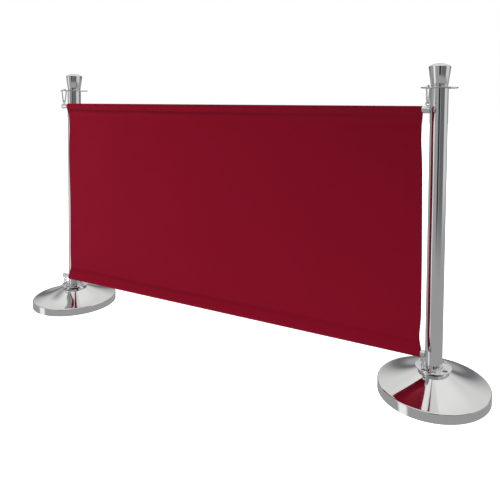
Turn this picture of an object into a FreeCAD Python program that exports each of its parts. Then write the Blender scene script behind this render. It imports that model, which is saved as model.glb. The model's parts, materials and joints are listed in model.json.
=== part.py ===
import FreeCAD, Part
import math
import os

# Cafe barrier: two polished posts with a canvas banner hooked between them.
# X runs along the banner, -Y is its front, Z is up from the floor.
# Sizes in millimetres, angles in degrees.

# fits and clearances
moving_gap = 0.3
pin_gap = 0.05
assembly_gap = 0.05

# post and base
post_height = 950.0
base_diameter = 320.0
base_rim_height = 29.0
base_rim_round = 4.0
base_neck_height = 69.0
base_neck_diameter = 84.0
base_cone_sag = 5.0
cover_wall = 1.2
cover_floor_gap = 1.0
smallest_round = 0.5
tube_diameter = 50.8
tube_wall = 1.5
ballast_thickness = 19.0
ballast_play = 1.0
foot_thickness = 3.0
foot_width = 30.0
foot_inset = 3.0

# tie bolt that holds tube, ballast and cover together
tie_bolt_diameter = 12.0
tie_bolt_reach = 30.0
tie_head_width = 18.0
tie_head_height = 7.5
tie_washer_diameter = 24.0
tie_washer_thickness = 2.5
tie_recess_diameter = 32.0
tie_recess_depth = 12.0
bolt_play = 0.5
plug_length = 28.0

# hook rings round the post
ring_diameter = 104.0
ring_thickness = 3.0
ring_hole_diameter = 14.0
ring_web = 5.0
ring_hole_count = 4
lower_ring_lift = 5.0

# crown cap
crown_height = 68.0
crown_foot_diameter = 47.0
crown_rim_diameter = 62.0
crown_dome_height = 10.0
crown_edge_round = 1.5
crown_wall = 2.5
crown_hub_thickness = 6.0
crown_hub_diameter = 22.0
crown_hub_length = 34.0
stud_diameter = 12.0
stud_length = 46.0
stud_depth = 20.0

# banner
rod_length = 1470.0
rod_diameter = 19.0
rod_wall = 1.2
rod_plug_length = 24.0
rod_dome = 4.0
rod_show = 30.5
canvas_thickness = 1.2
sleeve_play = 0.5
sleeve_seam_drop = 27.0
sleeve_hem = 9.0
sleeve_slit = 0.1

# eye bolts in the rod ends
eye_inset = 10.5
eye_wire = 3.5
eye_slack = 1.75
eye_lift = 0.4
eye_stem_diameter = 5.0
eye_stem_depth = 12.5
eye_tip_gap = 0.5

# snap hooks: a pear-shaped loop with a wide bow and a narrow end
hook_length = 54.0
hook_wire = 4.5
bow_inner_radius = 7.75
narrow_inner_radius = 3.25
hook_slack = 1.1
nose_end = 21.4
gate_tip = 22.0
gate_pivot = 41.0
gate_slot_width = 2.5
gate_slot_end = 33.5
tongue_thickness = 1.9
tongue_inset = 0.25
tongue_root = 0.5
tongue_clearance = 0.3
tongue_pin_gap = 0.02
pin_end_inset = 0.15
lower_hook_length = 40.0
gate_pin_diameter = 1.6
spring_radius = 0.7
spring_wire = 0.3
spring_turns = 5

# how far each post is swung round its hooks, away from square to the banner
left_swing = 0.0
right_swing = 27.0

# derived sizes
tube_radius = tube_diameter / 2.0
tube_bore = tube_radius - tube_wall
base_radius = base_diameter / 2.0
ring_radius = ring_diameter / 2.0
hole_radius = ring_hole_diameter / 2.0
hole_reach = ring_radius - ring_web - hole_radius
bridge_middle = (hole_reach + hole_radius + ring_radius) / 2.0
rod_radius = rod_diameter / 2.0
rod_bore = rod_radius - rod_wall
sleeve_inner = rod_radius + sleeve_play
sleeve_outer = sleeve_inner + canvas_thickness
ballast_top = foot_thickness + ballast_thickness
lower_ring_height = base_neck_height + lower_ring_lift
upper_ring_height = post_height - crown_height - ring_thickness
tube_bottom = ballast_top
tube_top = upper_ring_height
ring_top = upper_ring_height + ring_thickness
canvas_width = rod_length - 2.0 * rod_show
wire_radius = hook_wire / 2.0
bow_radius = bow_inner_radius + wire_radius
narrow_radius = narrow_inner_radius + wire_radius
hook_seat = hook_wire + hook_slack
lower_hook_share = lower_hook_length / hook_length
lower_wire_radius = wire_radius * lower_hook_share
eye_inner_radius = wire_radius + eye_slack
eye_ring_radius = eye_inner_radius + eye_wire / 2.0
eye_rise = rod_radius + eye_lift + eye_ring_radius + eye_wire / 2.0
link_offset = eye_inner_radius - wire_radius - moving_gap
lower_link_offset = eye_inner_radius - lower_wire_radius - moving_gap
top_hook_high = ring_top + hook_seat
top_hook_low = top_hook_high - hook_length
top_eye_height = top_hook_low + wire_radius - link_offset
top_rod_height = top_eye_height - eye_rise

# the lower hooks have the same slack at their ring as at their eyes, and the canvas fills what is left
bottom_hook_low = lower_ring_height - lower_link_offset - 2.0 * lower_wire_radius
bottom_hook_high = bottom_hook_low + lower_hook_length
bottom_eye_height = bottom_hook_high - lower_wire_radius + lower_link_offset
bottom_rod_height = bottom_eye_height + eye_rise

# plan layout, with the hook lines standing in front of the posts
left_angle = math.radians(left_swing)
right_angle = math.radians(right_swing)
hook_line_y = -bridge_middle * (math.cos(left_angle) + math.cos(right_angle)) / 2.0
hook_line_x = rod_length / 2.0 - eye_inset
side_shift = bridge_middle * (math.sin(left_angle) - math.sin(right_angle)) / 2.0

origin = FreeCAD.Vector(0, 0, 0)
up = FreeCAD.Vector(0, 0, 1)
along = FreeCAD.Vector(1, 0, 0)
across = FreeCAD.Vector(0, 1, 0)


def hook_line(side):
    """Plan position of the line on which one side's hooks hang."""
    return FreeCAD.Vector(side * hook_line_x + side_shift, hook_line_y, 0)


def post_swing(side):
    return left_swing if side < 0 else right_swing


def post_axis(side):
    """Plan position of one post's own axis."""
    angle = math.radians(post_swing(side))
    out = side * bridge_middle * math.sin(angle)
    back = bridge_middle * math.cos(angle)
    return hook_line(side) + FreeCAD.Vector(out, back, 0)


def ring_turn(side):
    """Direction from the post's axis to its hook line, in degrees about Z."""
    return -90.0 - side * post_swing(side)


def hook_turn(side):
    """The hooks turn half as far as the post."""
    return -90.0 - side * post_swing(side) / 2.0


def disc(radius, low, high):
    return Part.makeCylinder(radius, high - low, FreeCAD.Vector(0, 0, low))


def tube_of(outer, inner, low, high):
    return disc(outer, low, high).cut(disc(inner, low, high))


def turned_solid(edges):
    face = Part.Face(Part.Wire(edges))
    return face.revolve(origin, up, 360)


def hexagon(width, low, high):
    corner = width / math.sqrt(3.0)
    points = []
    for step in range(7):
        angle = math.radians(60.0 * step)
        points.append(FreeCAD.Vector(corner * math.cos(angle), corner * math.sin(angle), low))
    return Part.Face(Part.makePolygon(points)).extrude(FreeCAD.Vector(0, 0, high - low))


def at(radius, height):
    return FreeCAD.Vector(radius, 0, height)


def line(a, b):
    return Part.makeLine(a, b)


def arc(a, b, c):
    return Part.Arc(a, b, c).toShape()


# ---- base ----

def cover_solid(inset):
    """Base cover's outside, or its inside when inset by the wall.

    A rounded rim, a hollow cone and a flat land under the lower ring."""
    rim = base_radius - inset
    shoulder = base_rim_height - inset
    round_size = max(base_rim_round - inset, smallest_round)
    knee = round_size * (1.0 - math.sqrt(0.5))
    neck = base_neck_diameter / 2.0
    low = cover_floor_gap
    neck_top = base_neck_height - inset
    middle_radius = (rim - round_size + neck) / 2.0
    middle_height = (shoulder + neck_top) / 2.0 - base_cone_sag
    edges = [
        line(at(0, low), at(rim, low)),
        line(at(rim, low), at(rim, shoulder - round_size)),
        arc(at(rim, shoulder - round_size), at(rim - knee, shoulder - knee),
            at(rim - round_size, shoulder)),
        arc(at(rim - round_size, shoulder), at(middle_radius, middle_height), at(neck, neck_top)),
        line(at(neck, neck_top), at(0, neck_top)),
        line(at(0, neck_top), at(0, low)),
    ]
    return turned_solid(edges)


def base_cover():
    shell = cover_solid(0.0).cut(cover_solid(cover_wall))
    return shell.cut(disc(tube_radius + moving_gap, 0, post_height))


def base_ballast():
    body = disc(base_radius - cover_wall - ballast_play, foot_thickness, ballast_top)
    body = body.cut(disc(tie_recess_diameter / 2.0, foot_thickness, foot_thickness + tie_recess_depth))
    return body.cut(disc(tie_bolt_diameter / 2.0 + bolt_play, foot_thickness, ballast_top))


def rubber_foot():
    outer = base_radius - cover_wall - foot_inset
    return tube_of(outer, outer - foot_width, 0, foot_thickness)


def tie_washer():
    high = foot_thickness + tie_recess_depth
    inner = tie_bolt_diameter / 2.0 + bolt_play
    return tube_of(tie_washer_diameter / 2.0, inner, high - tie_washer_thickness, high)


def tie_bolt():
    seat = foot_thickness + tie_recess_depth - tie_washer_thickness
    head = hexagon(tie_head_width, seat - tie_head_height, seat)
    return head.fuse(disc(tie_bolt_diameter / 2.0, seat, seat + tie_bolt_reach))


def lower_plug():
    return tube_of(tube_bore - assembly_gap, tie_bolt_diameter / 2.0 + assembly_gap,
                   tube_bottom, tube_bottom + plug_length)


# ---- tube, rings and crown ----

def post_tube():
    return tube_of(tube_radius, tube_bore, tube_bottom, tube_top)


def ring(bore, low):
    """Flat ring with its hook holes, the first one towards +X."""
    plate = tube_of(ring_radius, bore, low, low + ring_thickness)
    for index in range(ring_hole_count):
        angle = 2.0 * math.pi * index / ring_hole_count
        centre = FreeCAD.Vector(hole_reach * math.cos(angle), hole_reach * math.sin(angle), low)
        plate = plate.cut(Part.makeCylinder(hole_radius, ring_thickness, centre))
    return plate


def lower_ring():
    return ring(tube_radius + assembly_gap, lower_ring_height)


def upper_ring():
    return ring(stud_diameter / 2.0 + bolt_play, upper_ring_height)


def upper_plug():
    return tube_of(tube_bore - assembly_gap, stud_diameter / 2.0 + pin_gap,
                   tube_top - plug_length, tube_top)


def crown_profile(inset):
    """Flared cap with a shallow domed top; the inset one is its hollow."""
    low = ring_top + moving_gap
    rim_height = post_height - crown_dome_height
    foot = crown_foot_diameter / 2.0 - inset
    rim = crown_rim_diameter / 2.0 - inset
    top = post_height - inset
    shoulder_radius = rim - crown_edge_round
    shoulder = rim_height - inset + crown_edge_round
    rise = top - shoulder
    ball = (shoulder_radius ** 2 + rise ** 2) / (2.0 * rise)
    half = shoulder_radius / 2.0
    dome_middle = at(half, top - ball + math.sqrt(ball ** 2 - half ** 2))
    edges = [
        line(at(0, low), at(foot, low)),
        line(at(foot, low), at(rim, rim_height - inset)),
        line(at(rim, rim_height - inset), at(shoulder_radius, shoulder)),
        arc(at(shoulder_radius, shoulder), dome_middle, at(0, top)),
        line(at(0, top), at(0, low)),
    ]
    return turned_solid(edges)


def crown_cap():
    return crown_profile(0.0).cut(crown_profile(crown_wall))


def crown_hub():
    low = ring_top + moving_gap
    plate_radius = crown_foot_diameter / 2.0 - crown_wall - assembly_gap
    stud_hole = stud_diameter / 2.0 + assembly_gap
    plate = disc(plate_radius, low, low + crown_hub_thickness)
    boss = disc(crown_hub_diameter / 2.0, low, low + crown_hub_length)
    return plate.fuse(boss).cut(disc(stud_hole, low, low + crown_hub_length))


def crown_stud():
    low = tube_top - stud_depth
    return disc(stud_diameter / 2.0, low, low + stud_length)


# ---- banner ----

def rod(height):
    """Hollow rod along X with a cross hole for the eye bolt near each end."""
    start = FreeCAD.Vector(-rod_length / 2.0 + rod_dome, 0, height)
    length = rod_length - 2.0 * rod_dome
    body = Part.makeCylinder(rod_radius, length, start, along)
    body = body.cut(Part.makeCylinder(rod_bore, length, start, along))
    toward = 1.0 if height == top_rod_height else -1.0
    for side in (-1, 1):
        foot = FreeCAD.Vector(side * hook_line_x, 0, height)
        body = body.cut(Part.makeCylinder(eye_stem_diameter / 2.0 + bolt_play, 2.0 * rod_radius,
                                          foot, up * toward))
    return body


def rod_plug(side, height, toward):
    """Domed end plug, tapped across for its eye bolt."""
    tube_end = rod_length / 2.0 - rod_dome
    ball = (rod_radius ** 2 + rod_dome ** 2) / (2.0 * rod_dome)
    dome = Part.makeSphere(ball, FreeCAD.Vector(tube_end + rod_dome - ball, 0, height))
    dome = dome.common(Part.makeCylinder(rod_radius, 2.0 * rod_dome,
                                         FreeCAD.Vector(tube_end, 0, height), along))
    insert = Part.makeCylinder(rod_bore - assembly_gap, rod_plug_length,
                               FreeCAD.Vector(tube_end - rod_plug_length, 0, height), along)
    body = dome.fuse(insert)
    foot = FreeCAD.Vector(hook_line_x, 0, height - toward * (eye_stem_depth - rod_radius))
    body = body.cut(Part.makeCylinder(eye_stem_diameter / 2.0 + assembly_gap, 2.0 * rod_radius,
                                      foot, up * toward))
    if side < 0:
        body = body.mirror(origin, along)
    return body


def eye_bolt(side, rod_height, toward):
    """Wire eye standing across the hook's plane, on a threaded stem."""
    centre = FreeCAD.Vector(side * hook_line_x, 0, rod_height + toward * eye_rise)
    eye = Part.makeTorus(eye_ring_radius, eye_wire / 2.0, centre, across)
    stem_end = rod_height + toward * (rod_radius - eye_stem_depth + eye_tip_gap)
    foot = FreeCAD.Vector(side * hook_line_x, 0, stem_end)
    length = abs(centre.z - toward * eye_ring_radius - stem_end)
    stem = Part.makeCylinder(eye_stem_diameter / 2.0, length, foot, up * toward)
    return eye.fuse(stem)


def sleeve_section(radius, seam_half, rod_height, drop_sign, seam_drop):
    """Teardrop outline round a rod, its sides tangent down to the seam."""
    reach = math.hypot(seam_drop, seam_half)
    lean = math.asin(radius / reach) - math.atan2(seam_half, seam_drop)
    side_y = radius * math.cos(lean)
    side_z = rod_height + drop_sign * radius * math.sin(lean)
    seam = rod_height + drop_sign * seam_drop
    front = FreeCAD.Vector(0, -side_y, side_z)
    back = FreeCAD.Vector(0, side_y, side_z)
    far = FreeCAD.Vector(0, 0, rod_height - drop_sign * radius)
    seam_front = FreeCAD.Vector(0, -seam_half, seam)
    seam_back = FreeCAD.Vector(0, seam_half, seam)
    edges = [arc(front, far, back), line(back, seam_back), line(seam_back, seam_front),
             line(seam_front, front)]
    face = Part.Face(Part.Wire(edges))
    return face.extrude(FreeCAD.Vector(canvas_width, 0, 0))


def sleeve(rod_height, drop_sign):
    outer = sleeve_section(sleeve_outer, canvas_thickness, rod_height, drop_sign,
                           sleeve_seam_drop + sleeve_hem)
    inner = sleeve_section(sleeve_inner, sleeve_slit, rod_height, drop_sign, sleeve_seam_drop)
    return outer.cut(inner)


def canvas():
    """Sheet with a sleeve for a rod along its top and bottom edges."""
    low = bottom_rod_height + sleeve_seam_drop
    high = top_rod_height - sleeve_seam_drop
    panel = Part.makeBox(canvas_width, canvas_thickness, high - low,
                         FreeCAD.Vector(0, -canvas_thickness / 2.0, low))
    body = panel.fuse(sleeve(top_rod_height, -1.0)).fuse(sleeve(bottom_rod_height, 1.0))
    body = body.removeSplitter()
    body.translate(FreeCAD.Vector(-canvas_width / 2.0, 0, 0))
    return body


# ---- snap hook, drawn hanging below z = 0 with its gate towards +X ----

narrow_centre = hook_length - wire_radius - narrow_radius
bow_centre = wire_radius + bow_radius
taper = math.asin((bow_radius - narrow_radius) / (narrow_centre - bow_centre))
bow_touch_x = bow_radius * math.cos(taper)
bow_touch = bow_centre + bow_radius * math.sin(taper)
narrow_touch_x = narrow_radius * math.cos(taper)
narrow_touch = narrow_centre + narrow_radius * math.sin(taper)
tongue_start = gate_pivot + wire_radius + moving_gap + tongue_clearance


def on_leg(depth):
    """Point on the gate leg's centre line at a depth below the hook's top."""
    return FreeCAD.Vector(bow_touch_x - (depth - bow_touch) * math.tan(taper), 0, -depth)


def wire_along(edges):
    spine = Part.Wire(edges)
    first = edges[0]
    start = first.Vertexes[0].Point
    ahead = first.tangentAt(first.FirstParameter)
    section = Part.Wire([Part.makeCircle(wire_radius, start, ahead)])
    return spine.makePipeShell([section], True, True)


def hook_body():
    nose = on_leg(nose_end)
    stub = on_leg(tongue_start)
    touch = FreeCAD.Vector(bow_touch_x, 0, -bow_touch)
    back_touch = FreeCAD.Vector(-bow_touch_x, 0, -bow_touch)
    back_low = FreeCAD.Vector(-narrow_touch_x, 0, -narrow_touch)
    front_low = FreeCAD.Vector(narrow_touch_x, 0, -narrow_touch)
    top = FreeCAD.Vector(0, 0, -wire_radius)
    bottom = FreeCAD.Vector(0, 0, -hook_length + wire_radius)
    edges = [
        line(nose, touch),
        arc(touch, top, back_touch),
        line(back_touch, back_low),
        arc(back_low, bottom, front_low),
        line(front_low, stub),
    ]
    body = wire_along(edges)
    return body.fuse(tongue())


def on_gate_leg(shape):
    """Move a shape drawn down -Z from the origin on to the gate leg."""
    shape.rotate(origin, across, math.degrees(taper))
    shape.translate(on_leg(0.0))
    return shape


def leg_length(depth):
    return depth / math.cos(taper)


def tongue():
    """Flat end of the wire that the gate's fork straddles."""
    thick = tongue_thickness
    half = wire_radius - tongue_inset
    top = -leg_length(gate_pivot)
    low = -leg_length(tongue_start) - tongue_root
    plate = Part.makeBox(2.0 * half, thick, top - low, FreeCAD.Vector(-half, -thick / 2.0, low))
    nose = Part.makeCylinder(half, thick, FreeCAD.Vector(0, -thick / 2.0, top), across)
    hole = Part.makeCylinder(gate_pin_diameter / 2.0 + tongue_pin_gap, thick,
                             FreeCAD.Vector(0, -thick / 2.0, top), across)
    return on_gate_leg(plate.fuse(nose).cut(hole))


def gate():
    top = -leg_length(gate_tip)
    pivot = -leg_length(gate_pivot)
    slot_end = -leg_length(gate_slot_end)
    slot = gate_slot_width
    bar = Part.makeCylinder(wire_radius, top - pivot, FreeCAD.Vector(0, 0, pivot))
    knuckle = Part.makeCylinder(wire_radius, hook_wire, FreeCAD.Vector(0, -wire_radius, pivot), across)
    keep = Part.makeCylinder(wire_radius, hook_length, FreeCAD.Vector(0, 0, -hook_length))
    body = bar.fuse(knuckle.common(keep))
    opening = Part.makeBox(2.0 * hook_wire, slot, slot_end - pivot + hook_wire,
                           FreeCAD.Vector(-hook_wire, -slot / 2.0, pivot - hook_wire))
    hole = Part.makeCylinder(gate_pin_diameter / 2.0 + pin_gap, hook_wire,
                             FreeCAD.Vector(0, -wire_radius, pivot), across)
    return on_gate_leg(body.cut(opening).cut(hole))


def gate_pin():
    length = hook_wire - 2.0 * pin_end_inset
    pivot = -leg_length(gate_pivot)
    return on_gate_leg(Part.makeCylinder(gate_pin_diameter / 2.0, length,
                                         FreeCAD.Vector(0, -length / 2.0, pivot), across))


def gate_spring():
    """Small coil between the tongue and the end of the gate's slot."""
    low = -leg_length(gate_pivot) + wire_radius + moving_gap
    high = -leg_length(gate_slot_end) - 2.0 * moving_gap
    height = high - low - 2.0 * spring_wire
    helix = Part.makeHelix(height / spring_turns, height, spring_radius - spring_wire)
    start = helix.Vertexes[0].Point
    section = Part.Wire([Part.makeCircle(spring_wire, start, FreeCAD.Vector(0, 1, 0))])
    coil = Part.Wire(helix).makePipeShell([section], True, True)
    coil.translate(FreeCAD.Vector(0, 0, low + spring_wire))
    return on_gate_leg(coil)


# ---- placing and writing ----

def place_on_post(shape, side):
    turned = shape.copy()
    turned.rotate(origin, up, ring_turn(side))
    turned.translate(post_axis(side))
    return turned


def place_on_banner(shape):
    moved = shape.copy()
    moved.translate(FreeCAD.Vector(side_shift, hook_line_y, 0))
    return moved


def place_hook(shape, side, level):
    """Stand a hook part on its hook line; the lower hooks are a smaller size, upside down."""
    moved = shape.copy()
    if level == "lower":
        moved.scale(lower_hook_share)
        moved.rotate(origin, along, 180)
    moved.rotate(origin, up, hook_turn(side))
    height = top_hook_high if level == "upper" else bottom_hook_low
    moved.translate(hook_line(side) + FreeCAD.Vector(0, 0, height))
    return moved


def group(shapes):
    return Part.makeCompound(shapes)


def write(name, shape):
    shape.exportStep(os.path.join("parts", name + ".step"))


def build_posts():
    pieces = {
        "rubber_foot": rubber_foot(),
        "base_ballast": base_ballast(),
        "base_cover": base_cover(),
        "tie_bolt": tie_bolt(),
        "tie_washer": tie_washer(),
        "lower_plug": lower_plug(),
        "post_tube": post_tube(),
        "lower_ring": lower_ring(),
        "upper_ring": upper_ring(),
        "upper_plug": upper_plug(),
        "crown_stud": crown_stud(),
        "crown_hub": crown_hub(),
        "crown_cap": crown_cap(),
    }
    for side, side_name in ((-1, "left"), (1, "right")):
        for name, shape in pieces.items():
            write(side_name + "_" + name, place_on_post(shape, side))


def build_banner():
    levels = ((top_rod_height, 1.0), (bottom_rod_height, -1.0))
    plugs = [rod_plug(side, height, toward) for height, toward in levels for side in (-1, 1)]
    eyes = [eye_bolt(side, height, toward) for height, toward in levels for side in (-1, 1)]
    write("canvas", place_on_banner(canvas()))
    write("top_rod", place_on_banner(rod(top_rod_height)))
    write("bottom_rod", place_on_banner(rod(bottom_rod_height)))
    write("rod_end_plugs", place_on_banner(group(plugs)))
    write("eye_bolts", place_on_banner(group(eyes)))


def build_hooks():
    pieces = {
        "hook": hook_body(),
        "gate": gate(),
        "gate_pin": gate_pin(),
        "gate_spring": gate_spring(),
    }
    for side, side_name in ((-1, "left"), (1, "right")):
        for level in ("upper", "lower"):
            for name, shape in pieces.items():
                write(level + "_" + side_name + "_" + name, place_hook(shape, side, level))


os.makedirs("parts", exist_ok=True)
build_posts()
build_banner()
build_hooks()
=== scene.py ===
import json
import math

import bmesh
import bpy
from mathutils import Matrix, Vector


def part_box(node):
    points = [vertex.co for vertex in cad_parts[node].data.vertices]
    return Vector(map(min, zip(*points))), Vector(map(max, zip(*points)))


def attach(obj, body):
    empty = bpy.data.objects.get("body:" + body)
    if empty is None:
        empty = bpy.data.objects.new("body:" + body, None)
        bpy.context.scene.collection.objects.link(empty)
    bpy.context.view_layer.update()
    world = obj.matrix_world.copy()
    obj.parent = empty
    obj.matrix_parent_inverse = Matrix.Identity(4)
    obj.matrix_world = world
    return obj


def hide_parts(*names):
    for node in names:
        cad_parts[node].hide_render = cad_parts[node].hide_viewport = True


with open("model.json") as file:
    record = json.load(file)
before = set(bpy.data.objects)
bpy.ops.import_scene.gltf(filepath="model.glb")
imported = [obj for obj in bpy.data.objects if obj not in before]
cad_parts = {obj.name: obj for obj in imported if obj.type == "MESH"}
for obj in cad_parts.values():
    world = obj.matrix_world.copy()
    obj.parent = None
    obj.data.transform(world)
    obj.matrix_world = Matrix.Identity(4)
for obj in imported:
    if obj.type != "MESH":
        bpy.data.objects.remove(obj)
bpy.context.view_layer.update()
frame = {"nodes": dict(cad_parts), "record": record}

mm = 0.001
crispAngle = 32  # degrees: a sharper edge keeps its corner
softAngle = 50  # the same for wire and cloth, whose facets are coarser
rightSwing = 27.0  # degrees by which the right post is swung round its hooks
sides = {"left": -1, "right": 1}
scene = bpy.context.scene


# sRGB hex to the linear colour that shaders work in, by the standard's own constants
def toLinear(hexColour):
    out = []
    for start in (1, 3, 5):
        c = int(hexColour[start:start + 2], 16) / 255
        out.append(c / 12.92 if c <= 0.04045 else ((c + 0.055) / 1.055) ** 2.4)
    return (*out, 1.0)


# a shader node with its settings, fixed inputs and incoming links
def addNode(tree, kind, inputs=None, links=None, **settings):
    node = tree.nodes.new(kind)
    for name, value in settings.items():
        setattr(node, name, value)
    for name, value in (inputs or {}).items():
        node.inputs[name].default_value = value
    for name, source in (links or {}).items():
        tree.links.new(source, node.inputs[name])
    return node


def newMaterial(name):
    material = bpy.data.materials.new(name)
    material.use_nodes = True
    tree = material.node_tree
    tree.nodes.clear()
    return material, tree


def finishTree(tree, shader):
    addNode(tree, "ShaderNodeOutputMaterial", links={"Surface": shader.outputs[0]})


# a 0 to 1 value spread between low and high
def remap(tree, source, low, high):
    node = addNode(tree, "ShaderNodeMapRange", {"To Min": low, "To Max": high}, {"Value": source})
    return node.outputs["Result"]


def link(obj):
    scene.collection.objects.link(obj)
    return obj


# smooth shading with real corners kept crisp
def sharpen(mesh, degrees=crispAngle):
    bm = bmesh.new()
    bm.from_mesh(mesh)
    bmesh.ops.recalc_face_normals(bm, faces=bm.faces)
    for face in bm.faces:
        face.smooth = True
    for edge in bm.edges:
        if len(edge.link_faces) == 2:
            edge.smooth = edge.calc_face_angle(0) < math.radians(degrees)
    bm.to_mesh(mesh)
    bm.free()


def meshObject(name, verts, faces, material, degrees=crispAngle):
    mesh = bpy.data.meshes.new(name)
    mesh.from_pydata(verts, [], faces)
    mesh.update()
    sharpen(mesh, degrees)
    mesh.materials.append(material)
    return link(bpy.data.objects.new(name, mesh))


# one mesh from several, in the frame's own axes
def joined(name, objs):
    bm = bmesh.new()
    material = objs[0].data.materials[0]
    for obj in objs:
        part = obj.data.copy()
        part.transform(obj.matrix_world)
        bm.from_mesh(part)
        bpy.data.meshes.remove(part)
        bpy.data.objects.remove(obj)
    mesh = bpy.data.meshes.new(name)
    bm.to_mesh(mesh)
    bm.free()
    mesh.materials.append(material)
    return link(bpy.data.objects.new(name, mesh))


filletShare = 0.49  # a fillet takes at most this share of each side


# a closed outline of (r, z, fillet) corners in mm as smooth (r, z) points in metres
def rounded(corners, steps=5):
    points = []
    count = len(corners)
    for i, (r, z, fillet) in enumerate(corners):
        here = Vector((r, z))
        if fillet <= 0:
            points.append(here)
            continue
        before = Vector(corners[i - 1][:2]) - here
        after = Vector(corners[(i + 1) % count][:2]) - here
        half = before.angle(after) / 2
        reach = min(fillet / math.tan(half), before.length * filletShare, after.length * filletShare)
        size = reach * math.tan(half)
        bisector = (before.normalized() + after.normalized()).normalized()
        centre = here + bisector * size / math.sin(half)
        start = here + before.normalized() * reach - centre
        sweep = math.pi - 2 * half
        turn = 1 if start.x * after.y - start.y * after.x > 0 else -1
        for step in range(steps + 1):
            angle = turn * sweep * step / steps
            c, s = math.cos(angle), math.sin(angle)
            points.append(centre + Vector((start.x * c - start.y * s, start.x * s + start.y * c)))
    return [(p.x * mm, p.y * mm) for p in points]


# a shallow dome from just inside its rim to its top, as (r, z) points in metres
def domePoints(radius, rise, top, steps):
    ball = (radius ** 2 + rise ** 2) / (2 * rise)
    points = []
    for step in range(1, steps + 1):
        r = radius * (1 - step / steps)
        points.append((r * mm, (top - ball + math.sqrt(ball ** 2 - r ** 2)) * mm))
    return points


onAxis = 1e-7  # a point this near the axis is one shared vertex


# a turned piece: a closed (r, z) outline swept round a vertical axis
def spun(name, outline, material, centre, segments):
    verts, faces, rings = [], [], []
    for r, z in outline:
        if r < onAxis:
            rings.append([len(verts)] * segments)
            verts.append((centre[0], centre[1], z))
            continue
        rings.append(list(range(len(verts), len(verts) + segments)))
        for i in range(segments):
            a = 2 * math.pi * i / segments
            verts.append((centre[0] + r * math.cos(a), centre[1] + r * math.sin(a), z))
    for j in range(len(outline)):
        low, high = rings[j], rings[(j + 1) % len(outline)]
        for i in range(segments):
            k = (i + 1) % segments
            face = []
            for v in (low[i], low[k], high[k], high[i]):
                if v not in face:
                    face.append(v)
            if len(face) > 2:
                faces.append(face)
    return meshObject(name, verts, faces, material)


# a turned piece drawn round Z, laid along X and moved to its place
def laidAlongX(obj, at):
    obj.data.transform(Matrix.Translation(at) @ Matrix.Rotation(math.pi / 2, 4, "Y"))
    return obj


wireEnd = {"steps": 4, "standOut": 0.5, "tip": 0.02}  # the dome's reach and smallest ring, in wire radii


# a round wire along a list of points, with domed ends when it is open
def wire(name, path, radius, material, facets, closed=False):
    points = [Vector(p) for p in path]
    radii = [radius] * len(points)
    if not closed:
        first = (points[0] - points[1]).normalized()
        last = (points[-1] - points[-2]).normalized()
        head, tail = [], []
        for step in range(1, wireEnd["steps"] + 1):
            angle = math.pi / 2 * step / wireEnd["steps"]
            size = max(radius * math.cos(angle), radius * wireEnd["tip"])
            head.append((points[0] + first * radius * wireEnd["standOut"] * math.sin(angle), size))
            tail.append((points[-1] + last * radius * wireEnd["standOut"] * math.sin(angle), size))
        radii = [s for p, s in reversed(head)] + radii + [s for p, s in tail]
        points = [p for p, s in reversed(head)] + points + [p for p, s in tail]
    count = len(points)
    tangents = []
    for i in range(count):
        a = points[i - 1] if closed or i > 0 else points[0]
        b = points[(i + 1) % count] if closed or i < count - 1 else points[-1]
        tangents.append((b - a).normalized())
    side = tangents[0].orthogonal().normalized()
    verts = []
    for i in range(count):
        if i:
            side = (tangents[i - 1].rotation_difference(tangents[i]) @ side).normalized()
        other = tangents[i].cross(side)
        for j in range(facets):
            a = 2 * math.pi * j / facets
            verts.append(points[i] + (side * math.cos(a) + other * math.sin(a)) * radii[i])
    faces = []
    for i in range(count if closed else count - 1):
        n = (i + 1) % count
        shift = 0
        if closed and n == 0:
            shift = min(range(facets), key=lambda s: (verts[i * facets] - verts[s]).length)
        for j in range(facets):
            k = (j + 1) % facets
            faces.append((i * facets + j, i * facets + k, n * facets + (k + shift) % facets,
                          n * facets + (j + shift) % facets))
    if not closed:
        faces.append(list(range(facets))[::-1])
        faces.append(list(range((count - 1) * facets, count * facets)))
    return meshObject(name, verts, faces, material, softAngle)


def circlePoints(radius, count):
    points = []
    for i in range(count):
        a = 2 * math.pi * i / count
        points.append((radius * math.cos(a), radius * math.sin(a)))
    return points


weldDistance = 1e-6


# a flat plate with holes and lightly broken edges; outlines are closed loops in metres, the outside first
def plate(name, outlines, thickness, edge, material, place):
    curve = bpy.data.curves.new(name, "CURVE")
    curve.dimensions = "2D"
    curve.fill_mode = "BOTH"
    curve.extrude = thickness / 2 - edge
    curve.bevel_depth = edge
    curve.bevel_resolution = 2
    curve.offset = -edge
    for outline in outlines:
        spline = curve.splines.new("POLY")
        spline.points.add(len(outline) - 1)
        spline.use_cyclic_u = True
        for point, (x, y) in zip(spline.points, outline):
            point.co = (x, y, 0, 1)
    holder = link(bpy.data.objects.new(name + "_curve", curve))
    depsgraph = bpy.context.evaluated_depsgraph_get()
    mesh = bpy.data.meshes.new_from_object(holder.evaluated_get(depsgraph))
    bpy.data.objects.remove(holder)
    bm = bmesh.new()
    bm.from_mesh(mesh)
    bmesh.ops.remove_doubles(bm, verts=bm.verts, dist=weldDistance)
    bm.to_mesh(mesh)
    bm.free()
    mesh.transform(place)
    sharpen(mesh)
    mesh.materials.clear()
    mesh.materials.append(material)
    mesh.name = name
    return link(bpy.data.objects.new(name, mesh))


polish = {"dark": "#E2E2E3", "light": "#EDEDED", "patch": 110, "ripple": 2.4, "depth": 0.2}  # sizes in mm


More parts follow.
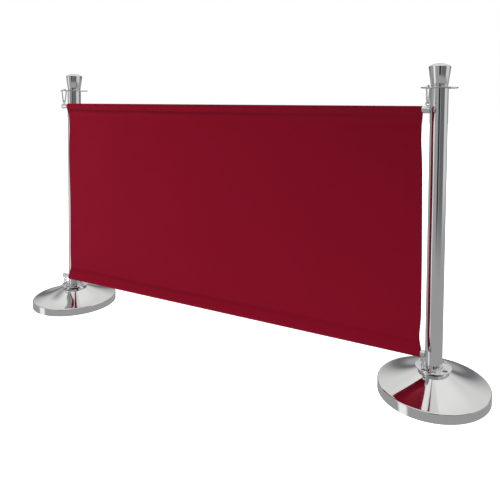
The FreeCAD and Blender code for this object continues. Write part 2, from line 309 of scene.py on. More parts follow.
# polished stainless: a near mirror that a faint uneven polish keeps from looking like glass
def mirrorSteel(name, roughLow, roughHigh, smear):
    material, tree = newMaterial(name)
    coords = addNode(tree, "ShaderNodeTexCoord").outputs["Object"]
    cloud = addNode(tree, "ShaderNodeTexNoise", {"Scale": 1 / (polish["patch"] * mm), "Detail": 4.0},
                    {"Vector": coords})
    fine = addNode(tree, "ShaderNodeTexNoise", {"Scale": 1 / (polish["ripple"] * mm), "Detail": 2.0},
                   {"Vector": coords})
    tint = addNode(tree, "ShaderNodeMix", {"A": toLinear(polish["dark"]), "B": toLinear(polish["light"])},
                   {"Factor": cloud.outputs["Fac"]}, data_type="RGBA")
    bump = addNode(tree, "ShaderNodeBump", {"Strength": smear, "Distance": polish["depth"] * mm},
                   {"Height": fine.outputs["Fac"]})
    shader = addNode(tree, "ShaderNodeBsdfPrincipled", {"Metallic": 1.0},
                     {"Base Color": tint.outputs["Result"],
                      "Roughness": remap(tree, cloud.outputs["Fac"], roughLow, roughHigh),
                      "Normal": bump.outputs["Normal"]})
    finishTree(tree, shader)
    return material


# unpolished metal or rubber: a mottled tone and a grain that breaks up its highlights
def grainy(name, dark, light, metallic, roughLow, roughHigh, grainSize, depth):
    material, tree = newMaterial(name)
    coords = addNode(tree, "ShaderNodeTexCoord").outputs["Object"]
    grain = addNode(tree, "ShaderNodeTexNoise", {"Scale": 1 / (grainSize * mm), "Detail": 6.0},
                    {"Vector": coords})
    tint = addNode(tree, "ShaderNodeMix", {"A": toLinear(dark), "B": toLinear(light)},
                   {"Factor": grain.outputs["Fac"]}, data_type="RGBA")
    bump = addNode(tree, "ShaderNodeBump", {"Strength": 0.4, "Distance": depth * mm},
                   {"Height": grain.outputs["Fac"]})
    shader = addNode(tree, "ShaderNodeBsdfPrincipled", {"Metallic": metallic},
                     {"Base Color": tint.outputs["Result"],
                      "Roughness": remap(tree, grain.outputs["Fac"], roughLow, roughHigh),
                      "Normal": bump.outputs["Normal"]})
    finishTree(tree, shader)
    return material


# pattern sizes in mm; colours darken towards the right and the top as painted shade, where less light falls
# on the cloth
canvasFinish = {
    "threadPitch": 1.1,  # drawn a little coarser than real threads, so that it shows
    "threadDepth": 0.25,
    "dyePatch": 290,
    "slub": 6.3,  # the length of a thicker stretch of thread
    "dark": "#6B0619",
    "light": "#7A0822",
    # painted shade: the red that the cloth deepens to at the right and the top
    "paintedShadeRed": "#5C0415",
    # the dark red of the stitch lines, also used for the painted shade beside each sleeve
    "seam": "#4A0411",
    "nap": "#E04050",  # the fuzz that catches light at a shallow angle
    "rough": (0.78, 0.92),
    "across": (-0.71, 0.71),  # metres, the stretch over which the painted shade deepens
    "up": (0.12, 0.82),
    "upShare": (0.4, 1.0),
    "fadeFrom": -0.2,  # metres, where the painted shade and the stitch lines start to fade
    "fadeTo": 0.71,
    "fadeShare": 0.4,
    "waver": 4.0,  # how far each painted shade band and stitch line strays up and down
    "waverLength": 140,
}
shadeAndStitchLines = (  # painted shade just clear of each sleeve, and a thin dark stitch line on each seam
    # painted shade under the upper sleeve, then its stitch line
    {"height": 0.799, "half": 9.0, "tone": 0.75},
    {"height": 0.790, "half": 2.0, "tone": 0.2},
    # painted shade over the lower sleeve, then its stitch line
    {"height": 0.158, "half": 10.0, "tone": 0.3},
    {"height": 0.1535, "half": 2.0, "tone": 0.15},
)
waveRadians = 20  # the wave node's own turn for each unit of length


# heavy red canvas: matt, with a plain weave seen close up, a slightly uneven dye from further off, painted
# shade deepening towards the right and the top, and painted shade bands and dark stitch lines along the
# sleeves
def wovenCanvas():
    c = canvasFinish
    material, tree = newMaterial("redCanvas")
    coords = addNode(tree, "ShaderNodeTexCoord").outputs["Object"]
    parts = addNode(tree, "ShaderNodeSeparateXYZ", links={"Vector": coords})
    thread = {"Scale": 2 * math.pi / (waveRadians * (c["threadPitch"] * mm)), "Distortion": 0.6,
              "Detail": 1.0, "Detail Scale": 3.0}
    warp = addNode(tree, "ShaderNodeTexWave", thread, {"Vector": coords}, bands_direction="X")
    weft = addNode(tree, "ShaderNodeTexWave", thread, {"Vector": coords}, bands_direction="Z")
    weave = addNode(tree, "ShaderNodeMath", {}, {0: warp.outputs["Fac"], 1: weft.outputs["Fac"]},
                    operation="MULTIPLY")
    cloud = addNode(tree, "ShaderNodeTexNoise", {"Scale": 1 / (c["dyePatch"] * mm), "Detail": 5.0},
                    {"Vector": coords})
    slub = addNode(tree, "ShaderNodeTexNoise", {"Scale": 1 / (c["slub"] * mm), "Detail": 3.0},
                   {"Vector": coords})
    mottle = addNode(tree, "ShaderNodeMix", {"Factor": 0.45},
                     {"A": cloud.outputs["Fac"], "B": slub.outputs["Fac"]})
    tint = addNode(tree, "ShaderNodeMix", {"A": toLinear(c["dark"]), "B": toLinear(c["light"])},
                   {"Factor": mottle.outputs["Result"]}, data_type="RGBA")
    # painted shade: the colour deepens towards the right and the top, where less light falls on the cloth
    along = addNode(tree, "ShaderNodeMapRange", {"From Min": c["across"][0], "From Max": c["across"][1]},
                    {"Value": parts.outputs["X"]})
    rise = addNode(tree, "ShaderNodeMapRange",
                   {"From Min": c["up"][0], "From Max": c["up"][1],
                    "To Min": c["upShare"][0], "To Max": c["upShare"][1]},
                   {"Value": parts.outputs["Z"]})
    paintedShadeShare = addNode(tree, "ShaderNodeMath", {}, {0: along.outputs["Result"], 1: rise.outputs["Result"]},
                     operation="MULTIPLY")
    colour = addNode(tree, "ShaderNodeMix", {"B": toLinear(c["paintedShadeRed"])},
                     {"Factor": paintedShadeShare.outputs["Value"], "A": tint.outputs["Result"]},
                     data_type="RGBA").outputs["Result"]
    fade = addNode(tree, "ShaderNodeMapRange",
                   {"From Min": c["fadeFrom"], "From Max": c["fadeTo"],
                    "To Min": 1.0, "To Max": c["fadeShare"]},
                   {"Value": parts.outputs["X"]})
    ripple = addNode(tree, "ShaderNodeTexNoise", {"Scale": 1 / (c["waverLength"] * mm), "Detail": 1.0},
                     {"Vector": coords})
    waver = addNode(tree, "ShaderNodeMapRange", {"To Min": -c["waver"] * mm, "To Max": c["waver"] * mm},
                    {"Value": ripple.outputs["Fac"]})
    bent = addNode(tree, "ShaderNodeMath", {}, {0: parts.outputs["Z"], 1: waver.outputs["Result"]},
                   operation="ADD")
    # painted shade beside each sleeve, and each stitch line, mixed into the colour
    for darkLine in shadeAndStitchLines:
        away = addNode(tree, "ShaderNodeMath", {1: darkLine["height"]}, {0: bent.outputs["Value"]},
                       operation="SUBTRACT")
        near = addNode(tree, "ShaderNodeMath", {}, {0: away.outputs[0]}, operation="ABSOLUTE")
        line = addNode(tree, "ShaderNodeMapRange",
                       {"From Min": darkLine["half"] * mm, "From Max": 0.0, "To Max": darkLine["tone"]},
                       {"Value": near.outputs[0]}, interpolation_type="SMOOTHSTEP")
        faded = addNode(tree, "ShaderNodeMath", {}, {0: line.outputs["Result"], 1: fade.outputs["Result"]},
                        operation="MULTIPLY")
        colour = addNode(tree, "ShaderNodeMix", {"B": toLinear(c["seam"])},
                         {"Factor": faded.outputs["Value"], "A": colour},
                         data_type="RGBA").outputs["Result"]
    bump = addNode(tree, "ShaderNodeBump", {"Strength": 0.35, "Distance": c["threadDepth"] * mm},
                   {"Height": weave.outputs["Value"]})
    shader = addNode(tree, "ShaderNodeBsdfPrincipled",
                     {"Specular IOR Level": 0.06, "Sheen Weight": 0.3, "Sheen Roughness": 0.35,
                      "Sheen Tint": toLinear(c["nap"])},
                     {"Base Color": colour,
                      "Roughness": remap(tree, slub.outputs["Fac"], *c["rough"]),
                      "Normal": bump.outputs["Normal"]})
    finishTree(tree, shader)
    return material


# grain sizes and bump depths are in mm, and the finest are drawn coarse enough to show
finishes = {
    # sharp reflections, bright and neutral
    "polished_steel": mirrorSteel("mirrorPolishedStainless", 0.035, 0.075, 0.02),
    # reflections a little drawn out
    "rod_steel": mirrorSteel("brightRolledTube", 0.08, 0.15, 0.03),
    # bright, with soft glints round each bend
    "hook_steel": mirrorSteel("nickelPlatedWire", 0.10, 0.20, 0.06),
    # satin grey
    "end_plug_zinc": grainy("dieCastZinc", "#9A9B9D", "#B4B5B7", 1.0, 0.28, 0.42, 3.8, 0.1),
    # dull silver
    "spring_steel": grainy("springWire", "#8C8D90", "#A5A6A9", 1.0, 0.25, 0.4, 1.1, 0.05),
    # grey with a fine tooth
    "plain_steel": grainy("turnedSteel", "#85868A", "#A3A4A7", 1.0, 0.3, 0.45, 2.0, 0.05),
    # near black and lumpy
    "cast_iron": grainy("sandCastIron", "#222325", "#36373A", 0.6, 0.6, 0.85, 5.5, 0.6),
    # matt black
    "black_rubber": grainy("mouldedRubber", "#141414", "#1F1F1F", 0.0, 0.7, 0.9, 1.7, 0.1),
    # matt red with a shallow glow of nap
    "red_canvas": wovenCanvas(),
}
slots = {entry["node"]: entry["material_slot"] for entry in frame["record"]["subparts"]}
for nodeName, obj in frame["nodes"].items():
    obj.data.materials.clear()
    obj.data.materials.append(finishes[slots[nodeName]])
print("stage: finishes done")


def middle(node):
    low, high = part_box(node)
    return Vector([(a + b) / 2 for a, b in zip(low, high)])


# put a finished piece on its body in place of its CAD nodes
def stand(obj, body, slotName, *nodes):
    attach(obj, body)
    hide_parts(*nodes)
    return obj


# sizes in mm from here on; a name with Edge is a small broken corner
base = {
    "rim": 160.0,
    "rimHeight": 29.0,
    "rimRound": 4.0,
    "rimSteps": 12,
    "neck": 42.0,
    "neckHeight": 69.0,
    "hole": 25.7,
    "holeEdge": 0.4,
    "sag": 5.0,
    "coneSteps": 40,
    "wall": 1.2,
    "gap": 1.0,
    "skirtEdge": 0.5,
    "segments": 256,
}


# skirt, rounded rim and a faintly hollow cone, drawn as one thin closed wall
def coverOutline():
    b = base
    rim, top, r = b["rim"], b["rimHeight"], b["rimRound"]
    start, end = Vector((rim - r, top)), Vector((b["neck"], b["neckHeight"]))

    def onCone(step):
        t = step / b["coneSteps"]
        p = start.lerp(end, t)
        return p.x, p.y - 4 * b["sag"] * t * (1 - t)

    outer = [(rim - b["wall"], b["gap"]), (rim - b["skirtEdge"], b["gap"]), (rim, b["gap"] + b["skirtEdge"])]
    for step in range(b["rimSteps"] + 1):
        a = math.pi / 2 * step / b["rimSteps"]
        outer.append((rim - r + r * math.cos(a), top - r + r * math.sin(a)))
    outer += [onCone(step) for step in range(1, b["coneSteps"] + 1)]
    outer.append((b["hole"] + b["holeEdge"], b["neckHeight"]))
    outer.append((b["hole"], b["neckHeight"] - b["holeEdge"]))
    inner = [(b["hole"], b["neckHeight"] - b["wall"])]
    for step in range(b["coneSteps"], 0, -1):
        x, z = onCone(step)
        inner.append((x, z - b["wall"]))
    inner.append((rim - r, top - b["wall"]))
    inner.append((rim - b["wall"], top - r))
    return [(x * mm, z * mm) for x, z in outer + inner]


tube = {"radius": 25.4, "bore": 23.9, "low": 22.0, "high": 879.0, "edge": 0.3, "segments": 192}
rings = {
    "radius": 52.0,
    "bores": {"lower": 25.45, "upper": 6.5},
    "hole": 7.0,
    "holes": 4,
    "reach": 40.0,  # from the post's axis to a hole's
    "thickness": 3.0,
    "edge": 0.5,
    "outsidePoints": 160,
    "borePoints": 96,
    "holePoints": 48,
    "turn": {"left": -90.0, "right": -90.0 - rightSwing},
}
crown = {
    "low": 882.3,
    "foot": 23.5,
    "footRim": 2.0,
    "footEdge": 0.5,
    "rim": 31.0,
    "rimHeight": 940.0,
    "shoulder": 1.5,
    "shoulderSteps": 6,
    "top": 950.0,
    "domeSteps": 24,
    "wall": 2.5,
    "innerEase": 1.0,
    "segments": 160,
}


# flared cap: crisp foot, soft shoulder, shallow dome
def crownOutline():
    c = crown
    points = rounded([(c["foot"] - c["footRim"], c["low"], 0), (c["foot"], c["low"], c["footEdge"]),
                      (c["rim"], c["rimHeight"], 0)], 3)[:-1]
    shoulder, soft = c["rim"] - c["shoulder"], c["shoulder"]
    for step in range(c["shoulderSteps"] + 1):
        a = math.pi / 2 * step / c["shoulderSteps"]
        points.append(((shoulder + soft * math.cos(a)) * mm, (c["rimHeight"] + soft * math.sin(a)) * mm))
    points += domePoints(shoulder, c["top"] - (c["rimHeight"] + soft), c["top"], c["domeSteps"])
    points.append((0, (c["top"] - c["wall"]) * mm))
    points.append(((c["rim"] - c["wall"] - c["innerEase"]) * mm, (c["rimHeight"] - c["wall"]) * mm))
    points.append(((c["foot"] - c["wall"]) * mm, c["low"] * mm))
    return points


# the edge of a hook ring, its bore and its hook holes
def ringLoops(sideName, level):
    loops = [circlePoints(rings["radius"] * mm, rings["outsidePoints"]),
             circlePoints(rings["bores"][level] * mm, rings["borePoints"])]
    for index in range(rings["holes"]):
        a = math.radians(rings["turn"][sideName]) + 2 * math.pi / rings["holes"] * index
        x0, y0 = rings["reach"] * mm * math.cos(a), rings["reach"] * mm * math.sin(a)
        loops.append([(x + x0, y + y0) for x, y in circlePoints(rings["hole"] * mm, rings["holePoints"])])
    return loops


steel = finishes["polished_steel"]
for sideName in sides:
    body, crownBody = sideName + "_post", sideName + "_crown"
    axis = middle(sideName + "_post_tube")
    spot = (axis.x, axis.y)
    cover = spun(sideName + "BaseCover", coverOutline(), steel, spot, base["segments"])
    stand(cover, body, "polished_steel", sideName + "_base_cover")
    pipe = rounded([(tube["bore"], tube["low"], 0), (tube["radius"], tube["low"], tube["edge"]),
                    (tube["radius"], tube["high"], tube["edge"]), (tube["bore"], tube["high"], 0)])
    stand(spun(sideName + "PostTube", pipe, steel, spot, tube["segments"]), body, "polished_steel",
          sideName + "_post_tube")
    for level in rings["bores"]:
        node = sideName + "_" + level + "_ring"
        ring = plate(sideName + level.capitalize() + "Ring", ringLoops(sideName, level),
                     rings["thickness"] * mm, rings["edge"] * mm, steel,
                     Matrix.Translation((axis.x, axis.y, middle(node).z)))
        stand(ring, body, "polished_steel", node)
    cap = spun(sideName + "CrownCap", crownOutline(), steel, spot, crown["segments"])
    stand(cap, crownBody, "polished_steel", sideName + "_crown_cap")
print("stage: posts done")


rod = {
    "radius": 9.5,
    "bore": 8.3,
    "length": 1462.0,  # between the domed ends
    "edge": 0.4,
    "segments": 96,
    "dome": 4.0,
    "domeSteps": 12,
    "domeSegments": 64,
    "insert": 20,
    "insertGap": 0.1,
    "insertEdge": 0.5,
    "insertSegments": 48,
}
rodMiddle = {"top": middle("top_rod"), "bottom": middle("bottom_rod")}
for name in rodMiddle:
    half = rod["length"] / 2
    outline = rounded([(rod["bore"], -half, 0), (rod["radius"], -half, rod["edge"]),
                       (rod["radius"], half, rod["edge"]), (rod["bore"], half, 0)])
    pipe = spun(name + "Rod", outline, finishes["rod_steel"], (0, 0), rod["segments"])
    stand(laidAlongX(pipe, rodMiddle[name]), "banner", "rod_steel", name + "_rod")

domes = []
for name in rodMiddle:
    for side in (-1, 1):
        outline = [(0, 0), (rod["radius"] * mm, 0)]
        outline += domePoints(rod["radius"], rod["dome"], rod["dome"], rod["domeSteps"])
        dome = spun("dome", outline, finishes["end_plug_zinc"], (0, 0), rod["domeSegments"])
        inside = rod["bore"] - rod["insertGap"]
        insert = rounded([(0, -rod["insert"], 0), (inside, -rod["insert"], rod["insertEdge"]),
                          (inside, 0, 0), (0, 0, 0)])
        plug = spun("insert", insert, finishes["end_plug_zinc"], (0, 0), rod["insertSegments"])
        end = rodMiddle[name] + Vector((side * rod["length"] / 2 * mm, 0, 0))
        for piece in (dome, plug):
            if side < 0:
                piece.data.transform(Matrix.Rotation(math.pi, 4, "X"))
            domes.append(laidAlongX(piece, end))
stand(joined("rodEndPlugs", domes), "banner", "end_plug_zinc", "rod_end_plugs")

eye = {
    "inset": 10.5,  # from the rod's domed end to the eye
    "ring": 5.75,
    "ringPoints": 48,
    "wire": 1.75,
    "rise": 17.4,
    "stem": 2.5,
    "stemLength": 18,
    "facets": 16,
}
hookX = {}
eyes = []
for name, toward in (("top", 1), ("bottom", -1)):
    for sideName, side in sides.items():
        x = rodMiddle[name].x + side * (rod["length"] / 2 + rod["dome"] - eye["inset"]) * mm
        hookX[sideName] = x
        centre = Vector((x, rodMiddle[name].y, rodMiddle[name].z + toward * eye["rise"] * mm))
        loop = [centre + Vector((px, 0, pz)) for px, pz in circlePoints(eye["ring"] * mm, eye["ringPoints"])]
        eyes.append(wire("eye", loop, eye["wire"] * mm, finishes["hook_steel"], eye["facets"], closed=True))
        top = centre - Vector((0, 0, toward * eye["ring"] * mm))
        stem = [top, top - Vector((0, 0, toward * eye["stemLength"] / 2 * mm)),
                top - Vector((0, 0, toward * eye["stemLength"] * mm))]
        eyes.append(wire("stem", stem, eye["stem"] * mm, finishes["hook_steel"], eye["facets"]))
stand(joined("eyeBolts", eyes), "banner", "hook_steel", "eye_bolts")
print("stage: rods done")


# depths are counted from the bow's outer end
hook = {
    "length": 54.0,
    "lowerLength": 40.0,  # the lower hooks are the same shape, smaller
    "wire": 2.25,
    "wireFacets": 24,
    "bow": 10.0,
    "narrow": 5.5,
    "bendSteps": 32,
    "nose": 21.4,
    "pivot": 41.0,
    "stub": 43.85,
    "tongueLap": 0.2,
    "tongue": 0.95,
    "tongueFacets": 12,
    "turn": {"left": -90.0, "right": -90.0 - rightSwing / 2},
}
hookSize = {"upper": 1.0, "lower": hook["lowerLength"] / hook["length"]}


# pear-shaped loop from the nose, over the bow, down the back and round the narrow end to the stub
def hookPath():
    h = hook
    bowDepth = h["wire"] + h["bow"]
    narrowDepth = h["length"] - h["wire"] - h["narrow"]
    taper = math.asin((h["bow"] - h["narrow"]) / (narrowDepth - bowDepth))
    touch = bowDepth + h["bow"] * math.sin(taper)
    touchX = h["bow"] * math.cos(taper)

    def legX(depth):
        return touchX - (depth - touch) * math.tan(taper)

    path = [(legX(h["nose"]), -h["nose"])]
    for step in range(h["bendSteps"] + 1):
        a = -taper + (math.pi + 2 * taper) * step / h["bendSteps"]
        path.append((h["bow"] * math.cos(a), -bowDepth + h["bow"] * math.sin(a)))
    for step in range(h["bendSteps"] + 1):
        a = math.pi + taper + (math.pi - 2 * taper) * step / h["bendSteps"]
        path.append((h["narrow"] * math.cos(a), -narrowDepth + h["narrow"] * math.sin(a)))
    path.append((legX(h["stub"]), -h["stub"]))
    lap = h["tongueLap"]
    tongue = [(legX(h["stub"] - lap), -h["stub"] + lap), (legX(h["pivot"]), -h["pivot"])]
    return path, tongue


for sideName in sides:
    for level in ("upper", "lower"):
        stem = level + "_" + sideName
        low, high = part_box(stem + "_hook")
        path, tongue = hookPath()
        flip, start = (1, high[2]) if level == "upper" else (-1, low[2])
        size = hookSize[level] * mm
        turn = Matrix.Rotation(math.radians(hook["turn"][sideName]), 4, "Z")
        place = Matrix.Translation((hookX[sideName], rodMiddle["top"].y, start)) @ turn
        loop = [place @ Vector((x * size, 0, flip * z * size)) for x, z in path]
        body = wire(stem + "Wire", loop, hook["wire"] * size, finishes["hook_steel"], hook["wireFacets"])
        flat = [place @ Vector((x * size, 0, flip * z * size)) for x, z in tongue]
        blade = wire(stem + "Tongue", flat, hook["tongue"] * size, finishes["hook_steel"],
                     hook["tongueFacets"])
        stand(joined(stem + "Hook", [body, blade]), stem + "_hook_body", "hook_steel", stem + "_hook")
print("stage: hooks done")


canvas = {
    "width": 1409.0,
    "thick": 1.2,
    "rodGap": 10.0,  # from the rod's axis to the cloth
    "seamDrop": 27.0,
    "seamSlit": 0.1,
    "hem": 9.0,
    "columns": 260,
    "rows": 60,
    "sleeveSteps": 28,
    "flankSteps": 6,
}
# how the cloth hangs: heights and widths are shares of its own, sizes are in mm
hang = {
    # size, rate across, phase and drift downwards of each ripple
    "ripples": ((0.9, 7.1, 1.1, 0.9), (0.6, 15.3, -0.7, -1.6), (0.35, 31, 0, 2.3)),
    "rippleSize": 1.4,
    "flattening": 0.8,  # below 1, the ripples reach nearer the rods
    "edgeCurl": 1.6,
    "edgeReach": 0.035,
    "edgeRate": 9,
    "edgePhase": 1.5,
    "fold": 3.0,
    "foldAcross": (0.462, 0.012),  # where it stands, and how far it reaches
    "foldUp": (0.72, 0.2),
    # how far each waist pulls the side edge in, where, and its reach
    "waists": ((3.0, 0.88, 0.08), (4.0, 0.07, 0.05)),
    "waistPower": 24,  # high, so only the very edge is pulled
    "slide": 4.5,  # how far the cloth has slid along the upper rod
    "extraSlide": {"left": 6.0, "right": 10.0},  # and how much further along the lower one
    "slidePower": 0.6,
}


# points round a sleeve from its front seam over the rod to its back seam, for a rod at the origin
def teardrop(radius, seamHalf, drop):
    reach = math.hypot(drop, seamHalf)
    lean = math.asin(radius / reach) - math.atan2(seamHalf, drop)
    steps, flanks = canvas["sleeveSteps"], canvas["flankSteps"]

    def onFlank(i):
        t = i / flanks
        return (seamHalf + (radius * math.cos(lean) - seamHalf) * t,
                -drop + (drop - radius * math.sin(lean)) * t)

    points = [(-y, z) for y, z in map(onFlank, range(flanks))]
    for i in range(steps + 1):
        a = math.pi + lean - (math.pi + 2 * lean) * i / steps
        points.append((radius * math.cos(a), radius * math.sin(a)))
    return points + [onFlank(i) for i in range(flanks - 1, -1, -1)]


# a smooth hump of height 1 round a place
def hump(value, place, reach):
    return math.exp(-((value - place) / reach) ** 2)


# a height's share of the way from the lower rod to the upper one
def heightShare(z):
    low, high = rodMiddle["bottom"].z, rodMiddle["top"].z
    return min(max((z - low) / (high - low), 0), 1)


# how far the hanging cloth stands forward of its plane, in metres
def billow(x, z):
    t = heightShare(z)
    window = math.sin(math.pi * t) ** hang["flattening"]
    u = x / (canvas["width"] * mm)
    wave = sum(size * math.sin(rate * u + phase + drift * t)
               for size, rate, phase, drift in hang["ripples"])
    curl = hump(0.5, abs(u), hang["edgeReach"]) * math.sin(hang["edgeRate"] * t + hang["edgePhase"])
    fold = hump(u, *hang["foldAcross"]) * hump(t, *hang["foldUp"])
    return (hang["rippleSize"] * wave + hang["edgeCurl"] * curl + hang["fold"] * fold) * mm * window


# how far a point has moved sideways: slid along the rods, and pulled in at the side edges
def shifted(across, z):
    t = heightShare(z)
    waist = sum(size * hump(t, place, reach) for size, place, reach in hang["waists"])
    pull = (abs(across) * 2) ** hang["waistPower"] * waist * (1 if across < 0 else -1)
    sag = (1 - t) ** hang["slidePower"]
    left = (hang["slide"] + hang["extraSlide"]["left"] * sag) * (0.5 - across)
    right = (hang["slide"] + hang["extraSlide"]["right"] * sag) * (0.5 + across)
    return (pull + (left + right)) * mm


# one closed skin: the outline round both sleeves, and the two holes that the rods pass through
def makeCanvas():
    c = canvas
    top, bottom = rodMiddle["top"].z, rodMiddle["bottom"].z
    x0, y0 = rodMiddle["top"].x, rodMiddle["top"].y
    outside = teardrop(c["rodGap"] + c["thick"], c["thick"], c["seamDrop"] + c["hem"])
    inside = teardrop(c["rodGap"], c["seamSlit"], c["seamDrop"])
    upper = [(y * mm, top + z * mm) for y, z in outside]
    lower = [(y * mm, bottom - z * mm) for y, z in outside]
    holes = [[(y * mm, top + z * mm) for y, z in inside], [(y * mm, bottom - z * mm) for y, z in inside]]
    half = c["thick"] / 2 * mm
    seamTop, seamBottom = upper[0][1], lower[0][1]
    down = [(half, seamTop + (seamBottom - seamTop) * (i + 0.5) / c["rows"]) for i in range(c["rows"])]
    outline = upper + down + lower[::-1] + [(-y, z) for y, z in reversed(down)]
    columns = c["columns"]
    bm = bmesh.new()
    ends = {0: [], columns: []}
    for loop in [outline] + holes:
        grid = []
        for i in range(columns + 1):
            across = -0.5 + i / columns
            x = across * c["width"] * mm
            grid.append([bm.verts.new((x0 + x + shifted(across, z), y0 + y - billow(x, z), z))
                         for y, z in loop])
        for i in range(columns):
            for j in range(len(loop)):
                k = (j + 1) % len(loop)
                bm.faces.new((grid[i][j], grid[i][k], grid[i + 1][k], grid[i + 1][j]))
        for end in ends:
            ring = grid[end]
            ends[end].append([bm.edges.get((ring[j], ring[(j + 1) % len(ring)]))
                              for j in range(len(ring))])
    for loops in ends.values():
        edges = [e for loop in loops for e in loop]
        bmesh.ops.triangle_fill(bm, use_beauty=True, edges=edges, normal=(1, 0, 0))
    mesh = bpy.data.meshes.new("bannerCanvas")
    bm.to_mesh(mesh)
    bm.free()
    sharpen(mesh, softAngle)
    mesh.materials.append(finishes["red_canvas"])
    return link(bpy.data.objects.new("bannerCanvas", mesh))


cloth = makeCanvas()
stand(cloth, "banner", "red_canvas", "canvas")
print("stage: canvas done")


# pale matt paper that glows enough to hide most of the shadows on it
def studioPaper():
    material, tree = newMaterial("studioPaper")
    place = addNode(tree, "ShaderNodeTexCoord")
    cloud = addNode(tree, "ShaderNodeTexNoise", {"Scale": 1 / (500 * mm)},
                    {"Vector": place.outputs["Object"]})
    tint = addNode(tree, "ShaderNodeMix", {"A": toLinear("#F6F6F6"), "B": toLinear("#F9F9F9")},
                   {"Factor": cloud.outputs["Fac"]}, data_type="RGBA")
    shader = addNode(tree, "ShaderNodeBsdfPrincipled",
                     {"Roughness": 0.9, "Specular IOR Level": 0.1,
                      "Emission Color": (1, 1, 1, 1), "Emission Strength": 0.85},
                     {"Base Color": tint.outputs["Result"]})
    finishTree(tree, shader)
    return material


# what the steel mirrors: heading and half width in degrees, sines of the lowest and highest
# elevation, softness of the upper and lower edges, and tone
roomPanels = {
    "farWall": {"heading": 90, "half": 75, "low": 0.0, "high": 0.22, "soft": 0.10, "tone": "#747476"},
    "brightCeiling": {"heading": 60, "half": 100, "low": 0.35, "high": 1.2, "soft": 0.18, "tone": "#E2E2E0"},
    "skylight": {"heading": 0, "half": 180, "low": 0.72, "high": 1.3, "soft": 0.12, "tone": "#F2F2F0"},
    "sideWall": {"heading": 18, "half": 26, "low": -0.15, "high": 0.5, "soft": 0.07, "tone": "#D8D8D8"},
    "equipment": {"heading": -34, "half": 26, "low": -0.17, "high": 0.25, "soft": 0.07, "tone": "#6A6C6E"},
    "doorway": {"heading": -76, "half": 9, "low": -0.16, "high": 0.4, "soft": 0.05, "tone": "#2A2C2E"},
    "window": {"heading": -140, "half": 9, "low": -0.9, "high": 0.45, "soft": 0.10, "tone": "#FFFFFF"},
}
roomGrey = "#A4A4A5"  # the rest of the room
sideSoftness = math.radians(4)  # softness of each panel's left and right edges


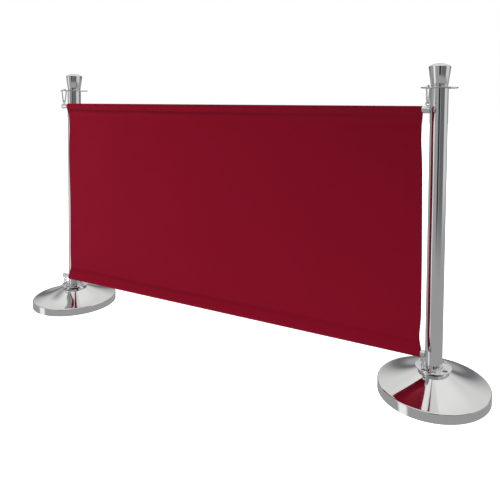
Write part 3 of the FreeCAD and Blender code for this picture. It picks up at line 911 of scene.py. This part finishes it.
# the studio as the steel mirrors it; the backdrop itself is plain white
def paintRoom(tree):
    place = addNode(tree, "ShaderNodeTexCoord")
    parts = addNode(tree, "ShaderNodeSeparateXYZ", links={"Vector": place.outputs["Generated"]})
    level = addNode(tree, "ShaderNodeCombineXYZ", {"Z": 0.0},
                    {"X": parts.outputs["X"], "Y": parts.outputs["Y"]})
    flat = addNode(tree, "ShaderNodeVectorMath", links={0: level.outputs[0]}, operation="NORMALIZE")
    colour = addNode(tree, "ShaderNodeMix",
                     {"Factor": 0.0, "A": toLinear(roomGrey), "B": toLinear(roomGrey)},
                     data_type="RGBA").outputs["Result"]
    for panel in roomPanels.values():
        heading, half, soft = math.radians(panel["heading"]), math.radians(panel["half"]), panel["soft"]
        facing = addNode(tree, "ShaderNodeVectorMath", {1: (math.cos(heading), math.sin(heading), 0)},
                         {0: flat.outputs[0]}, operation="DOT_PRODUCT")
        across = addNode(tree, "ShaderNodeMapRange",
                         {"From Min": math.cos(min(half + sideSoftness, math.pi)),
                          "From Max": math.cos(max(half - sideSoftness, 0))},
                         {"Value": facing.outputs["Value"]}, interpolation_type="SMOOTHSTEP")
        rising = addNode(tree, "ShaderNodeMapRange",
                         {"From Min": panel["low"] - soft, "From Max": panel["low"] + soft},
                         {"Value": parts.outputs["Z"]}, interpolation_type="SMOOTHSTEP")
        falling = addNode(tree, "ShaderNodeMapRange",
                          {"From Min": panel["high"] + soft, "From Max": panel["high"] - soft},
                          {"Value": parts.outputs["Z"]}, interpolation_type="SMOOTHSTEP")
        band = addNode(tree, "ShaderNodeMath", {},
                       {0: rising.outputs["Result"], 1: falling.outputs["Result"]},
                       operation="MULTIPLY")
        mask = addNode(tree, "ShaderNodeMath", {}, {0: band.outputs["Value"], 1: across.outputs["Result"]},
                       operation="MULTIPLY")
        colour = addNode(tree, "ShaderNodeMix", {"B": toLinear(panel["tone"])},
                         {"Factor": mask.outputs["Value"], "A": colour}, data_type="RGBA").outputs["Result"]
    room = addNode(tree, "ShaderNodeBackground", {"Strength": 1.0}, {"Color": colour})
    paper = addNode(tree, "ShaderNodeBackground", {"Color": (1, 1, 1, 1), "Strength": 1.0})
    ray = addNode(tree, "ShaderNodeLightPath")
    both = addNode(tree, "ShaderNodeMixShader", {},
                   {0: ray.outputs["Is Camera Ray"], 1: room.outputs[0], 2: paper.outputs[0]})
    addNode(tree, "ShaderNodeOutputWorld", links={"Surface": both.outputs[0]})


floorHalf = 30  # metres, so that its edges stay out of sight
floorCorners = [(-floorHalf, -floorHalf, 0), (floorHalf, -floorHalf, 0),
                (floorHalf, floorHalf, 0), (-floorHalf, floorHalf, 0)]
floor = meshObject("floor", floorCorners, [(0, 1, 2, 3)], studioPaper())
floor.visible_glossy = False
world = bpy.data.worlds.new("studio")
scene.world = world
world.use_nodes = True
world.node_tree.nodes.clear()
paintRoom(world.node_tree)
scene.view_settings.view_transform = "Standard"


# even light from one side of the sky, with no fall-off over the floor; angles in degrees
def softSun(name, heading, elevation, strength, spread):
    data = bpy.data.lights.new(name, "SUN")
    data.energy = strength
    data.angle = math.radians(spread)
    light = link(bpy.data.objects.new(name, data))
    tilt = Matrix.Rotation(math.radians(90 - elevation), 4, "Y")
    light.matrix_world = Matrix.Rotation(math.radians(heading), 4, "Z") @ tilt
    light.visible_glossy = False


softSun("keyLight", -125, 50, 1.15, 50)
softSun("fillLight", -60, 75, 0.5, 90)
print("stage: studio done")


# place in metres, angles in radians, focal length in sensor widths
view = {
    "at": (1.0045, -1.4955, 0.8167),
    "turn": 0.4611,
    "down": 0.0380,
    "roll": 0.0106,
    "focal": 1.023218,
    "sensor": 36,
    "shift": (-0.0798, -0.2438),
    "nearest": 0.05,
}
cameraData = bpy.data.cameras.new("camera")
cameraData.sensor_width = view["sensor"]
cameraData.lens = view["sensor"] * view["focal"]
cameraData.shift_x, cameraData.shift_y = view["shift"]
cameraData.clip_start = view["nearest"]
camera = link(bpy.data.objects.new("camera", cameraData))
aim = Matrix.Rotation(view["turn"], 4, "Z") @ Matrix.Rotation(math.pi / 2 - view["down"], 4, "X")
camera.matrix_world = Matrix.Translation(view["at"]) @ aim @ Matrix.Rotation(view["roll"], 4, "Z")
scene.camera = camera
print("stage: camera done")
